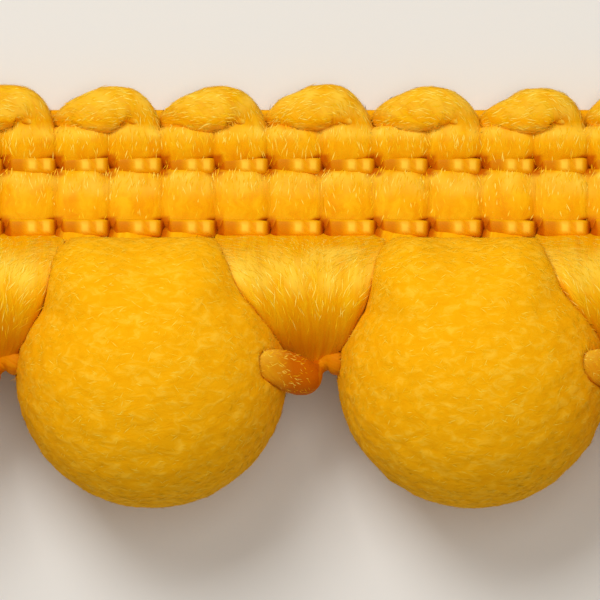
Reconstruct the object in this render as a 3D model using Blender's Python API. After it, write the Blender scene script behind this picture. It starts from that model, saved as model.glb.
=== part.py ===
"""Pompom fringe trim: a knitted heading of bulky yarn, with a row of pompoms tied under it.

The trim lies face up on a flat surface. X runs along the trim, +Y points from the pompoms to the
heading's looped edge, and +Z points out of the face. The origin is under the middle of the length.
"""

import math

import bmesh
import bpy
from mathutils import Vector

MM = 0.001

# The repeat, counted and measured along the trim.
POMPOM_COUNT = 4
POMPOM_PITCH = 7.64 * MM
COLUMNS_PER_POMPOM = 6
COLUMN_PITCH = POMPOM_PITCH / COLUMNS_PER_POMPOM
TURN_COUNT = 13
TIE_SHIFT = -0.2 * MM

# Heights across the trim, from the line of the ties.
HEADING_END_Y = 3.28 * MM
LOWER_CHAIN_Y = 3.45 * MM
MIDDLE_CHAIN_Y = 4.95 * MM
UPPER_CHAIN_Y = 6.02 * MM
LOOP_TOP_Y = 6.80 * MM

# The pompoms, pressed a little flat where they lie.
POMPOM_RADIUS = 3.28 * MM
POMPOM_HALF_DEPTH = 2.95 * MM
POMPOM_SINK = 0.05 * MM
POMPOM_CENTRE_Z = POMPOM_HALF_DEPTH - POMPOM_SINK

# Yarn radii in the heading.
PUFF_RADIUS = 0.62 * MM
PINCH_RADIUS = 0.49 * MM
CUT_RADIUS = 0.40 * MM
LOOP_RADIUS = 0.52 * MM
CHAIN_RADIUS = 0.14 * MM
CHAIN_DIP = 0.10 * MM
HEADING_CENTRE_Z = 0.53 * MM

# The heading lies flat at its looped edge, and its lower edge rises to the ties.
DRAPE_START_Y = 4.40 * MM
DRAPE_END_Y = 1.20 * MM
DRAPE_RISE = POMPOM_CENTRE_Z - HEADING_CENTRE_Z

ORIGIN_Y = (LOOP_TOP_Y - POMPOM_RADIUS) / 2


def smooth_step(t):
    """0 before t = 0 and 1 after t = 1, with a soft start and end."""
    t = min(max(t, 0.0), 1.0)
    return t * t * (3.0 - 2.0 * t)


def drape_z(y):
    """Height of the yarn's middle at a distance y above the ties."""
    run = (DRAPE_START_Y - y) / (DRAPE_START_Y - DRAPE_END_Y)
    return HEADING_CENTRE_Z + DRAPE_RISE * smooth_step(run)


def drape_normal(y):
    """The direction out of the draped yarn's face at a distance y above the ties, as (y, z)."""
    step = 0.01 * MM
    slope = (drape_z(y + step) - drape_z(y - step)) / (2 * step)
    length = math.hypot(1.0, slope)
    return -slope / length, 1.0 / length


def tie_x(index):
    """Place of a tie along the trim; tie 0 is left of the first pompom."""
    return (index - POMPOM_COUNT / 2) * POMPOM_PITCH + TIE_SHIFT


def remove_start_objects():
    for obj in list(bpy.data.objects):
        bpy.data.objects.remove(obj)


def new_collection(name):
    collection = bpy.data.collections.new(name)
    bpy.context.scene.collection.children.link(collection)
    return collection


def new_material(name, colour, roughness):
    material = bpy.data.materials.new(name)
    material.use_nodes = True
    shader = material.node_tree.nodes["Principled BSDF"]
    shader.inputs["Base Color"].default_value = (*colour, 1.0)
    shader.inputs["Roughness"].default_value = roughness
    shader.inputs["Metallic"].default_value = 0.0
    shader.inputs["Sheen Weight"].default_value = 0.4
    return material


def new_object(name, mesh, collection, material=None):
    obj = bpy.data.objects.new(name, mesh)
    collection.objects.link(obj)
    if material:
        mesh.materials.clear()
        mesh.materials.append(material)
    return obj


def strand(name, stations, sides, collection):
    """A closed yarn along stations of (x, y, z, radius), as a mesh; sides is even."""
    curve = bpy.data.curves.new(name, "CURVE")
    curve.dimensions = "3D"
    curve.twist_mode = "Z_UP"
    curve.bevel_depth = MM
    curve.bevel_resolution = (sides - 4) // 2
    curve.use_fill_caps = True
    spline = curve.splines.new("POLY")
    spline.points.add(len(stations) - 1)
    for point, (x, y, z, radius) in zip(spline.points, stations):
        point.co = (x, y, z, 1.0)
        point.radius = radius / MM
    guide = bpy.data.objects.new(name + "_curve", curve)
    collection.objects.link(guide)
    bpy.context.view_layer.update()
    evaluated = guide.evaluated_get(bpy.context.evaluated_depsgraph_get())
    mesh = bpy.data.meshes.new_from_object(evaluated)
    bpy.data.objects.remove(guide)
    work = bmesh.new()
    work.from_mesh(mesh)
    bmesh.ops.remove_doubles(work, verts=work.verts, dist=0.001 * MM)
    bmesh.ops.recalc_face_normals(work, faces=work.faces)
    work.to_mesh(mesh)
    work.free()
    return new_object(name, mesh, collection)


def hide_tool(obj):
    obj.hide_render = True
    obj.display_type = "WIRE"


def boolean(obj, operation, other):
    modifier = obj.modifiers.new(operation.title(), "BOOLEAN")
    modifier.operation = operation
    modifier.solver = "EXACT"
    if isinstance(other, bpy.types.Collection):
        modifier.operand_type = "COLLECTION"
        modifier.collection = other
    else:
        modifier.object = other


def column_stations():
    """One column of yarn, from its lower end up to the arch: (height, radius)."""
    lower_middle = (LOWER_CHAIN_Y + MIDDLE_CHAIN_Y) / 2
    lower_quarter = (MIDDLE_CHAIN_Y - LOWER_CHAIN_Y) / 4
    upper_middle = (MIDDLE_CHAIN_Y + UPPER_CHAIN_Y) / 2
    return [
        (HEADING_END_Y, CUT_RADIUS),
        (LOWER_CHAIN_Y, PINCH_RADIUS),
        (lower_middle - lower_quarter, PUFF_RADIUS),
        (lower_middle + lower_quarter, PUFF_RADIUS),
        (MIDDLE_CHAIN_Y, PINCH_RADIUS),
        (upper_middle - 0.20 * MM, PUFF_RADIUS),
        (upper_middle + 0.14 * MM, PUFF_RADIUS),
    ]


def yarn_turn(index, collection):
    """Two columns of the heading's yarn and the loop over them, leaning to the right."""
    left = (2 * index - TURN_COUNT + 0.5) * COLUMN_PITCH
    right = left + COLUMN_PITCH
    arch_y = UPPER_CHAIN_Y - 0.26 * MM
    arch_rise = LOOP_TOP_Y - LOOP_RADIUS - arch_y
    lean = 0.13 * MM
    stations = [(left, y, drape_z(y), radius) for y, radius in column_stations()]
    for step, radius in ((1, 0.86), (2, 0.94), (3, 1.0), (4, 1.0), (5, 0.96)):
        angle = math.pi * (1.0 - step / 6)
        x = (left + right) / 2 + COLUMN_PITCH / 2 * math.cos(angle) + lean * math.sin(angle)
        y = arch_y + arch_rise * math.sin(angle)
        forward = 0.10 * MM * math.sin(angle)
        stations.append((x, y, drape_z(y) + forward, LOOP_RADIUS * radius))
    stations += [(right, y, drape_z(y), radius) for y, radius in reversed(column_stations())]
    stations = [(x, y - ORIGIN_Y, z, radius) for x, y, z, radius in stations]
    return strand(f"turn_{index + 1}", stations, 8, collection)


def front_chain(name, y, collection):
    """A binding thread across the heading's face: over each column, and drawn in between two."""
    columns = 2 * TURN_COUNT
    stations = []
    for step in range(2 * columns + 1):
        x = (step - columns) * COLUMN_PITCH / 2
        out = PINCH_RADIUS if step % 2 else CHAIN_DIP
        if step in (0, 2 * columns):
            x *= 1.0 - 0.1 / columns
        stations.append((x, y - ORIGIN_Y, drape_z(y) + out, CHAIN_RADIUS))
    return strand(name, stations, 4, collection)


def back_chain(name, y, collection):
    """The same thread's run along the heading's back, where it lies straight."""
    half = (TURN_COUNT - 0.1) * COLUMN_PITCH
    z = drape_z(y) - PINCH_RADIUS
    stations = [(x, y - ORIGIN_Y, z, CHAIN_RADIUS) for x in (-half, half)]
    return strand(name, stations, 6, collection)


def floor_cutter(collection):
    """A block whose top is the surface that the trim lies on."""
    bpy.ops.mesh.primitive_cube_add(size=1.0)
    block = bpy.context.active_object
    block.name = "floor_cutter"
    block.data.transform(block.matrix_world)
    for vertex in block.data.vertices:
        vertex.co.x *= 60 * MM
        vertex.co.y *= 30 * MM
        vertex.co.z = 0.0 if vertex.co.z > 0 else -5 * MM
    for owner in block.users_collection:
        owner.objects.unlink(block)
    collection.objects.link(block)
    hide_tool(block)
    return block


def build_heading(parts, tools, material):
    """The heading: every turn of yarn and the threads that bind them, as one body."""
    pieces = new_collection("heading_pieces")
    for index in range(1, TURN_COUNT):
        hide_tool(yarn_turn(index, pieces))
    for label, y in (("lower", LOWER_CHAIN_Y), ("middle", MIDDLE_CHAIN_Y), ("upper", UPPER_CHAIN_Y)):
        hide_tool(front_chain(f"{label}_chain_front", y, pieces))
        hide_tool(back_chain(f"{label}_chain_back", y, pieces))
    pieces.hide_render = True
    heading = yarn_turn(0, parts)
    heading.name = "heading"
    heading.data.materials.append(material)
    boolean(heading, "UNION", pieces)
    boolean(heading, "DIFFERENCE", floor_cutter(tools))
    return heading


def loft(name, rings, collection, material):
    """A closed solid through rings of the same number of points, capped at both ends."""
    work = bmesh.new()
    made = [[work.verts.new(point) for point in ring] for ring in rings]
    sides = len(rings[0])
    for ring, following in zip(made, made[1:]):
        for a in range(sides):
            b = (a + 1) % sides
            work.faces.new((ring[a], ring[b], following[b], following[a]))
    work.faces.new(reversed(made[0]))
    work.faces.new(made[-1])
    bmesh.ops.recalc_face_normals(work, faces=work.faces)
    mesh = bpy.data.meshes.new(name)
    work.to_mesh(mesh)
    work.free()
    return new_object(name, mesh, collection, material)


# A fan's sections, from the heading down to the tie, in millimetres from the tie:
# height, middle, half width, half thickness.
FAN_SECTIONS = (
    (2.90, -0.30, 1.72, 0.46),
    (2.70, -0.30, 1.80, 0.62),
    (2.30, -0.27, 1.66, 0.68),
    (1.80, -0.18, 1.38, 0.72),
    (1.30, -0.08, 1.10, 0.68),
    (0.84, 0.02, 0.82, 0.52),
)
FAN_SIDES = 24


def build_fan(index, parts, material):
    """Yarn of three columns, ribbed at the top, drawn together towards a tie."""
    centre = tie_x(index)
    end = TURN_COUNT * COLUMN_PITCH - centre if index == POMPOM_COUNT else math.inf
    start = -TURN_COUNT * COLUMN_PITCH - centre if index == 0 else -math.inf
    rings = []
    for y, middle, half_width, half_thick in FAN_SECTIONS:
        ribs = 0.12 * smooth_step((y - 0.5) / 2.0)
        normal_y, normal_z = drape_normal(y * MM)
        ring = []
        for side in range(FAN_SIDES):
            angle = 2 * math.pi * side / FAN_SIDES
            x = (middle + half_width * math.cos(angle)) * MM
            rib = 1.0 + ribs * math.cos(2 * math.pi * (x + TIE_SHIFT) / COLUMN_PITCH + math.pi)
            x = min(max(x, start), end)
            out = half_thick * MM * rib * math.sin(angle)
            ring.append((
                centre + x,
                y * MM - ORIGIN_Y + out * normal_y,
                drape_z(y * MM) + out * normal_z,
            ))
        rings.append(ring)
    return loft(f"fan_{index + 1}", rings, parts, material)


# A tie's sections along the trim, in millimetres from the tie: place, how far it
# stands forward, radius. The yarn's lower loop is on the left, then three wraps.
TIE_SECTIONS = (
    (-1.02, 0.12, 0.22),
    (-0.90, 0.14, 0.36),
    (-0.62, 0.16, 0.45),
    (-0.28, 0.14, 0.46),
    (-0.04, 0.09, 0.38),
    (0.06, 0.04, 0.26),
    (0.13, 0.03, 0.31),
    (0.19, 0.02, 0.26),
    (0.25, 0.01, 0.31),
    (0.31, 0.00, 0.26),
    (0.37, 0.00, 0.31),
    (0.44, 0.00, 0.26),
    (0.56, 0.00, 0.24),
)


def build_tie(index, parts, material):
    """A tie: the drawn-in neck between two pompoms, with its wraps and the yarn's lower loop."""
    stations = [
        (
            tie_x(index) + x * MM,
            -ORIGIN_Y,
            POMPOM_CENTRE_Z + forward * MM,
            radius * MM,
        )
        for x, forward, radius in TIE_SECTIONS
    ]
    tie = strand(f"tie_{index + 1}", stations, 10, parts)
    tie.data.materials.append(material)
    return tie


# Where the fans press a pompom's shoulders in, seen from the front: direction in degrees
# from +X, depth in millimetres with the gap between the pieces, half width in degrees.
SHOULDER_DENTS = ((34.0, 0.97, 38.0), (148.0, 0.78, 36.0))
# The hollows that the ties draw into a pompom's two ends: depth and mouth radius.
RIGHT_HOLLOW = (0.94 * MM, 0.90 * MM)
LEFT_HOLLOW = (0.40 * MM, 0.66 * MM)
POMPOM_SEGMENTS = 28
POMPOM_RINGS = 17
RING_CROWDING = 0.45
TUFT_HEIGHT = 0.035 * MM


def pompom_point(direction, tuft):
    """The point of a pompom's surface in a unit direction from its centre."""
    x, y, z = direction
    plan = math.degrees(math.atan2(y, x))
    radius = POMPOM_RADIUS + tuft
    for middle, depth, half_width in SHOULDER_DENTS:
        off = (plan - middle) / half_width
        if abs(off) < 1.0:
            radius -= depth * MM * math.cos(off * math.pi / 2) ** 2 * math.hypot(x, y) ** 2
    depth, mouth = RIGHT_HOLLOW if x > 0 else LEFT_HOLLOW
    off_axis = POMPOM_RADIUS * math.hypot(y, z)
    hollow = depth * math.exp(-((off_axis / mouth) ** 4))
    return Vector((
        x * radius - math.copysign(hollow, x) * (abs(x) > 0.5),
        y * radius,
        z * (POMPOM_HALF_DEPTH + tuft),
    ))


def build_pompom(index, parts, material):
    """A pompom: a dense ball of yarn, drawn in at its ties and dented by the two fans."""
    centre = Vector(((tie_x(index) + tie_x(index + 1)) / 2, -ORIGIN_Y, POMPOM_CENTRE_Z))
    work = bmesh.new()
    bmesh.ops.create_uvsphere(
        work, u_segments=POMPOM_SEGMENTS, v_segments=POMPOM_RINGS, radius=1.0
    )
    for vertex in work.verts:
        turn = math.atan2(vertex.co.y, vertex.co.x)
        share = math.acos(min(max(vertex.co.z, -1.0), 1.0)) / math.pi
        ring = round(share * POMPOM_RINGS)
        crowded = (1.0 - RING_CROWDING) * share + RING_CROWDING * (1.0 - math.cos(math.pi * share)) / 2
        tilt = math.pi * crowded
        direction = Vector((
            math.cos(tilt),
            math.sin(tilt) * math.cos(turn),
            math.sin(tilt) * math.sin(turn),
        ))
        tuft = TUFT_HEIGHT * math.sin(tilt) * math.cos(turn * POMPOM_SEGMENTS / 2 + math.pi * ring)
        vertex.co = centre + pompom_point(direction, tuft)
        vertex.co.z = max(vertex.co.z, 0.0)
    name = f"pompom_{index + 1}"
    mesh = bpy.data.meshes.new(name)
    work.to_mesh(mesh)
    work.free()
    return new_object(name, mesh, parts, material)


def main():
    remove_start_objects()
    parts = new_collection("pompom_fringe_trim")
    tools = new_collection("cutters")
    yarn = new_material("heading_yarn", (0.86, 0.42, 0.010), 0.62)
    pile = new_material("pompom_pile", (0.85, 0.44, 0.012), 0.80)
    build_heading(parts, tools, yarn)
    for index in range(POMPOM_COUNT + 1):
        build_fan(index, parts, yarn)
        build_tie(index, parts, yarn)
    for index in range(POMPOM_COUNT):
        build_pompom(index, parts, pile)


main()
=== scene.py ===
"""The looks of the pompom fringe trim: its yarn, binding threads, fans, ties and pompoms.

The trim lies face up. X runs along it, +Y points from the pompoms to the looped edge, and +Z out
of the face. Heights across the trim are counted from the line of the ties, in millimetres.
"""

import math
import random
from functools import partial

import bpy
import numpy as np
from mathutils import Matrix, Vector, noise
from mathutils.bvhtree import BVHTree


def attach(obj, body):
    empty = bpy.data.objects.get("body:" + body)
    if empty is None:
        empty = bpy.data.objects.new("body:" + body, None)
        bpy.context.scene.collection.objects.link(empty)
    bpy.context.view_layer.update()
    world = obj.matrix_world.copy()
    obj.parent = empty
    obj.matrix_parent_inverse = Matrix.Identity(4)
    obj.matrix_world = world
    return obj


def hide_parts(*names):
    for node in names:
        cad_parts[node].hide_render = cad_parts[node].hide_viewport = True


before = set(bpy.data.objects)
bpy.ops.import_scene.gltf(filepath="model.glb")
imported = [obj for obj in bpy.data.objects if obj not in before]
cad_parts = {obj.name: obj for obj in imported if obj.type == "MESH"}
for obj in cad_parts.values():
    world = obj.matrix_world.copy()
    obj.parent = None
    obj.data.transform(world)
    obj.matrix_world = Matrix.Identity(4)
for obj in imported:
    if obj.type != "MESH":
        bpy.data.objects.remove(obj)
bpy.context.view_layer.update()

MM = 0.001

# The repeat along the trim, in millimetres.
POMPOM_COUNT = 4
POMPOM_PITCH = 7.64
COLUMN_PITCH = POMPOM_PITCH / 6
TURN_COUNT = 13
TIE_SHIFT = -0.2
# A fan's middle, from its tie.
FAN_MIDDLE = -0.30

# Heights across the trim, from the line of the ties, in millimetres.
LOWER_CHAIN_Y = 3.43
MIDDLE_CHAIN_Y = 4.93
UPPER_CHAIN_Y = 6.02
ORIGIN_Y = 1.76

# The pompoms' size, and depths above the surface, in millimetres.
POMPOM_RADIUS = 3.28
POMPOM_HALF_DEPTH = 2.95
POMPOM_CENTRE_Z = 2.90
HEADING_CENTRE_Z = 0.57
DRAPE_START_Y = 4.40
DRAPE_END_Y = 1.20


def clamped(value):
    """A value kept between 0 and 1."""
    return min(max(value, 0.0), 1.0)


def smooth_step(t):
    """0 before t = 0 and 1 after t = 1, with a soft start and end."""
    t = clamped(t)
    return t * t * (3.0 - 2.0 * t)


def rise(value, start, run):
    """0 up to start, then softly up to 1 over a run."""
    return smooth_step((value - start) / run)


def fall(value, end, run):
    """1 until a run before end, then softly down to 0."""
    return smooth_step((end - value) / run)


def patchy(x, y, layer):
    """Soft patches over a surface, from 0 to 1."""
    return clamped(0.5 + 0.9 * noise.noise(Vector((x, y, layer))))


def drape_z(y):
    """Height of the yarn's middle at a distance y above the ties, in millimetres."""
    run = (DRAPE_START_Y - y) / (DRAPE_START_Y - DRAPE_END_Y)
    return HEADING_CENTRE_Z + (POMPOM_CENTRE_Z - HEADING_CENTRE_Z) * smooth_step(run)


def column_x(index):
    """The middle of a column, counted from the left."""
    return (index - TURN_COUNT + 0.5) * COLUMN_PITCH


def tie_x(index):
    """Place of a tie along the trim; tie 0 is left of the first pompom."""
    return (index - POMPOM_COUNT / 2) * POMPOM_PITCH + TIE_SHIFT


def placed(x, y, z):
    """A point given in millimetres from the line of the ties, in the frame's metres."""
    return x * MM, (y - ORIGIN_Y) * MM, z * MM


# Node trees

def socket(sockets, key):
    """An enabled socket by its name, or any socket by its number."""
    if isinstance(key, int):
        return sockets[key]
    return next(s for s in sockets if s.name == key and s.enabled)


def add_node(tree, kind, inputs=None, **settings):
    """A node with its settings, and its inputs as values or as sockets to link from."""
    node = tree.nodes.new(kind)
    for name, value in settings.items():
        setattr(node, name, value)
    for key, value in (inputs or {}).items():
        target = socket(node.inputs, key)
        if isinstance(value, bpy.types.NodeSocket):
            tree.links.new(value, target)
        else:
            target.default_value = value
    return node


def first_output(tree, kind, inputs=None, **settings):
    """The first output of a new node."""
    return add_node(tree, kind, inputs, **settings).outputs[0]


def math_socket(tree, operation, *values):
    """The result of one sum of numbers."""
    return first_output(tree, "ShaderNodeMath", dict(enumerate(values)), operation=operation)


def vector_socket(tree, operation, *values, scale=None):
    """The result of one sum of vectors; scale is what the operation SCALE multiplies by."""
    inputs = dict(enumerate(values))
    if scale is not None:
        inputs["Scale"] = scale
    return first_output(tree, "ShaderNodeVectorMath", inputs, operation=operation)


SOCKET_KINDS = {
    "float": "NodeSocketFloat",
    "int": "NodeSocketInt",
    "vector": "NodeSocketVector",
    "colour": "NodeSocketColor",
    "material": "NodeSocketMaterial",
    "geometry": "NodeSocketGeometry",
    "object": "NodeSocketObject",
}


def new_group(name, kind, inputs, outputs):
    """An empty node group with named sockets; returns it with its input and output nodes."""
    group = bpy.data.node_groups.new(name, kind)
    for direction, sockets in (("INPUT", inputs), ("OUTPUT", outputs)):
        for label, socket_kind, *default in sockets:
            made = group.interface.new_socket(
                label, in_out=direction, socket_type=SOCKET_KINDS[socket_kind]
            )
            if default:
                made.default_value = default[0]
    return group, group.nodes.new("NodeGroupInput"), group.nodes.new("NodeGroupOutput")


def attribute_socket(group, name, kind):
    """A value that a mesh keeps under a name; kind is FLOAT or FLOAT_VECTOR."""
    return first_output(group, "GeometryNodeInputNamedAttribute", {"Name": name}, data_type=kind)


def with_attribute(group, geometry, name, kind, domain, value):
    """Geometry that keeps a value under a name."""
    inputs = {"Geometry": geometry, "Name": name, "Value": value}
    settings = {"data_type": kind, "domain": domain}
    return first_output(group, "GeometryNodeStoreNamedAttribute", inputs, **settings)


def random_socket(group, low, high, seed):
    """A random number for each point, from low to high."""
    inputs = {"Min": low, "Max": high, "Seed": seed}
    node = add_node(group, "FunctionNodeRandomValue", inputs, data_type="FLOAT")
    return socket(node.outputs, "Value")


def leave_dressed(group, given, leave, geometry):
    """Ends a geometry group: what it made becomes one real mesh with its material."""
    real = first_output(group, "GeometryNodeRealizeInstances", {"Geometry": geometry})
    inputs = {"Geometry": real, "Material": given["Material"]}
    dressed = first_output(group, "GeometryNodeSetMaterial", inputs)
    group.links.new(dressed, leave.inputs[0])


def grown(source, group, values, name):
    """The plain mesh object that a geometry node group makes of a source object."""
    modifier = source.modifiers.new(group.name, "NODES")
    modifier.node_group = group
    for item in group.interface.items_tree:
        if item.in_out == "INPUT" and item.name in values:
            modifier[item.identifier] = values[item.name]
    graph = bpy.context.evaluated_depsgraph_get()
    mesh = bpy.data.meshes.new_from_object(source.evaluated_get(graph), depsgraph=graph)
    mesh.name = name
    source.modifiers.remove(modifier)
    made = bpy.data.objects.new(name, mesh)
    bpy.context.scene.collection.objects.link(made)
    return made


def new_mesh_object(name, vertices, edges, faces):
    """A mesh object at the frame's origin, in the scene."""
    mesh = bpy.data.meshes.new(name)
    mesh.from_pydata(vertices, edges, faces)
    mesh.update()
    made = bpy.data.objects.new(name, mesh)
    bpy.context.scene.collection.objects.link(made)
    return made


def store(obj, name, kind, values):
    """A named value on each of a mesh's points; kind is FLOAT or FLOAT_VECTOR."""
    attribute = obj.data.attributes.new(name, kind, "POINT")
    field = "value" if kind == "FLOAT" else "vector"
    attribute.data.foreach_set(field, np.asarray(values, np.float32).ravel())


def store_shares(obj, **shares):
    """Named shares from 0 to 1 on each of a mesh's points."""
    for name, values in shares.items():
        store(obj, name, "FLOAT", values)


def finished(piece, *nodes, slot="heading_yarn"):
    """A finished piece: it rides with the trim and stands for the CAD nodes given."""
    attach(piece, "root")
    if nodes:
        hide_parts(*nodes)
    return piece


# Effects that several materials share

def filament_group():
    """Fine streaks along the yarn, a little crimped, as a mask and a height."""
    group, entry, leave = new_group(
        "crimped_filaments", "ShaderNodeTree",
        [("Place", "vector"), ("Fineness", "float", 9.0), ("Stretch", "float", 0.16)],
        [("Streak", "float"), ("Height", "float")],
    )
    made, given = partial(first_output, group), entry.outputs
    wander = add_node(
        group, "ShaderNodeTexNoise", {"Vector": given["Place"], "Scale": 3.2, "Detail": 2.0}
    ).outputs["Color"]
    bent = vector_socket(group, "MULTIPLY_ADD", wander, (0.20, 0.20, 0.0), given["Place"])
    squeeze = made("ShaderNodeCombineXYZ", {0: 1.0, 1: 1.0, 2: given["Stretch"]})
    drawn = vector_socket(group, "MULTIPLY", bent, squeeze)
    fine = made(
        "ShaderNodeTexNoise",
        {"Vector": drawn, "Scale": given["Fineness"], "Detail": 3.0, "Roughness": 0.62},
    )
    coarse_scale = math_socket(group, "MULTIPLY", given["Fineness"], 0.33)
    coarse = made("ShaderNodeTexNoise", {"Vector": drawn, "Scale": coarse_scale, "Detail": 2.0})
    share = math_socket(group, "MULTIPLY", coarse, 0.4)
    both = math_socket(group, "MULTIPLY_ADD", fine, 0.6, share)
    streak = made("ShaderNodeMapRange", {"Value": both, "From Min": 0.36, "From Max": 0.64})
    group.links.new(streak, leave.inputs["Streak"])
    group.links.new(both, leave.inputs["Height"])
    return group


def felt_group():
    """The mottle of a sheared tuft: short dashes, mostly along the trim, as a mask and a height."""
    group, entry, leave = new_group(
        "felted_dashes", "ShaderNodeTree",
        [("Place", "vector"), ("Fineness", "float", 5.0)],
        [("Dash", "float"), ("Height", "float")],
    )
    made, given = partial(first_output, group), entry.outputs
    squeeze = vector_socket(group, "MULTIPLY", given["Place"], (0.55, 1.0, 1.0))
    dash = made(
        "ShaderNodeTexNoise",
        {"Vector": squeeze, "Scale": given["Fineness"], "Detail": 4.0, "Roughness": 0.6,
         "Distortion": 0.6},
    )
    mask = made("ShaderNodeMapRange", {"Value": dash, "From Min": 0.30, "From Max": 0.72})
    group.links.new(mask, leave.inputs["Dash"])
    group.links.new(dash, leave.inputs["Height"])
    return group


# Materials. Colours are linear, and each finish is given from its deepest colour to its palest.

AMBER = (0.85, 0.335, 0.0008)
GOLD = (0.89, 0.41, 0.0012)
LEMON = (0.93, 0.50, 0.005)
# The pale tint below is painted highlight, and pale patches, on the yarn.
PALE_HIGHLIGHT = (0.97, 0.62, 0.055)
# The deep tint below is painted shade, for creases, notches, hollows and the lower parts of puffs.
SHADE_COLOUR = (0.54, 0.12, 0.0003)
YARN_COLOURS = (AMBER, GOLD, LEMON)
THREAD_COLOURS = (AMBER, GOLD, (0.92, 0.45, 0.003))
FELT_COLOURS = ((0.89, 0.39, 0.001), (0.92, 0.435, 0.003), (0.97, 0.54, 0.028))
YARN_FIBRE_COLOURS = (GOLD, (0.96, 0.53, 0.008), (1.0, 0.74, 0.12))
PILE_FIBRE_COLOURS = ((0.92, 0.43, 0.002), (0.95, 0.50, 0.005), (1.0, 0.66, 0.06))
FELT_RELIEF = 0.02


def new_material(name, roughness, sheen):
    """A cloth material with its even values set; returns it with its node tree and shader."""
    material = bpy.data.materials.new(name)
    material.use_nodes = True
    tree = material.node_tree
    shader = tree.nodes["Principled BSDF"]
    shader.inputs["Roughness"].default_value = roughness
    shader.inputs["Sheen Weight"].default_value = sheen
    shader.inputs["Sheen Roughness"].default_value = 0.45
    shader.inputs["Sheen Tint"].default_value = (1.0, 0.62, 0.04, 1.0)
    shader.inputs["Specular IOR Level"].default_value = 0.03
    return material, tree, shader


def three_colours(tree, mask, colours):
    """A colour that goes through the three given as the mask goes from 0 to 1."""
    low, middle, high = colours
    ramp = add_node(tree, "ShaderNodeValToRGB", {"Fac": mask})
    ends = ramp.color_ramp.elements
    ends[0].color = (*low, 1.0)
    ends[1].color = (*high, 1.0)
    ends.new(0.5).color = (*middle, 1.0)
    return ramp.outputs["Color"]


def kept_by_mesh(tree, name):
    """The node that reads what a mesh keeps under a name."""
    return add_node(tree, "ShaderNodeAttribute", attribute_name=name)


def raise_relief(tree, shader, height, relief):
    """Bumps a surface where the height is great; the relief is in millimetres."""
    bump = add_node(tree, "ShaderNodeBump", {"Height": height, "Distance": relief * MM})
    tree.links.new(bump.outputs["Normal"], shader.inputs["Normal"])


def yarn_material(name, filaments, colours, roughness, relief):
    """Bulked yarn: crimped filaments along its length, in the yarn's own coordinates."""
    material, tree, shader = new_material(name, roughness, 0.06)
    lines = add_node(tree, "ShaderNodeGroup", node_tree=filaments)
    tree.links.new(kept_by_mesh(tree, "yarn_place").outputs["Vector"], lines.inputs["Place"])
    colour = three_colours(tree, lines.outputs["Streak"], colours)
    # The yarn is painted paler with highlight and pale patches, and deeper with painted shade in its
    # creases, notches and hollows.
    for share, tint in (("loose", PALE_HIGHLIGHT), ("packed", SHADE_COLOUR)):
        colour = add_node(
            tree, "ShaderNodeMix",
            {6: colour, 7: (*tint, 1.0), 0: kept_by_mesh(tree, share).outputs["Fac"]},
            data_type="RGBA",
        ).outputs[2]
    tree.links.new(colour, shader.inputs["Base Color"])
    raise_relief(tree, shader, lines.outputs["Height"], relief)
    return material


def felt_material(name, felt, colours):
    """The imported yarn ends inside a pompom's pile."""
    material, tree, shader = new_material(name, 0.85, 0.05)
    place = add_node(tree, "ShaderNodeTexCoord").outputs["Object"]
    in_mm = vector_socket(tree, "SCALE", place, scale=1 / MM)
    dashes = add_node(tree, "ShaderNodeGroup", node_tree=felt)
    tree.links.new(in_mm, dashes.inputs["Place"])
    colour = three_colours(tree, dashes.outputs["Dash"], colours)
    tree.links.new(colour, shader.inputs["Base Color"])
    raise_relief(tree, shader, dashes.outputs["Height"], FELT_RELIEF)
    return material


def fibre_material(name, colours, roughness, softness):
    """Single fibres, each a little lighter or deeper than the next, lit like a soft pile.

    The softer it is, the more a fibre is lit like the surface that it lies on.
    """
    material, tree, shader = new_material(name, roughness, 0.0)
    colour = three_colours(tree, kept_by_mesh(tree, "shade").outputs["Fac"], colours)
    tree.links.new(colour, shader.inputs["Base Color"])
    lean = kept_by_mesh(tree, "lean").outputs["Vector"]
    own = add_node(tree, "ShaderNodeNewGeometry").outputs["Normal"]
    softened = vector_socket(tree, "MULTIPLY_ADD", lean, (softness,) * 3, own)
    even = vector_socket(tree, "NORMALIZE", softened)
    tree.links.new(even, shader.inputs["Normal"])
    # Fibres this thin let the light through, so they throw no shadow on the yarn.
    ray = add_node(tree, "ShaderNodeLightPath")
    solid = math_socket(tree, "SUBTRACT", 1.0, ray.outputs["Is Shadow Ray"])
    tree.links.new(solid, shader.inputs["Alpha"])
    return material


# Geometry node groups

def yarn_stations(group, given):
    """Stations along each guide line, and what each of them knows of the yarn there."""
    made = partial(first_output, group)
    lines = made("GeometryNodeMeshToCurve", {"Mesh": given["Guides"]})
    smooth = made("GeometryNodeCurveSplineType", {"Curve": lines}, spline_type="CATMULL_ROM")
    stations = made(
        "GeometryNodeResampleCurve", {"Curve": smooth, "Length": given["Spacing"]}, mode="LENGTH"
    )
    along = add_node(group, "GeometryNodeCaptureAttribute", {"Geometry": stations})
    captured = (
        ("FLOAT", "Along", add_node(group, "GeometryNodeSplineParameter").outputs["Length"]),
        ("VECTOR", "Direction", made("GeometryNodeInputTangent")),
        ("VECTOR", "Centre", made("GeometryNodeInputPosition")),
        ("FLOAT", "Half width", attribute_socket(group, "half_width", "FLOAT")),
        ("FLOAT", "Half depth", attribute_socket(group, "half_depth", "FLOAT")),
    )
    for kind, name, value in captured:
        along.capture_items.new(kind, name)
        group.links.new(value, along.inputs[name])
    return along.outputs


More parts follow.
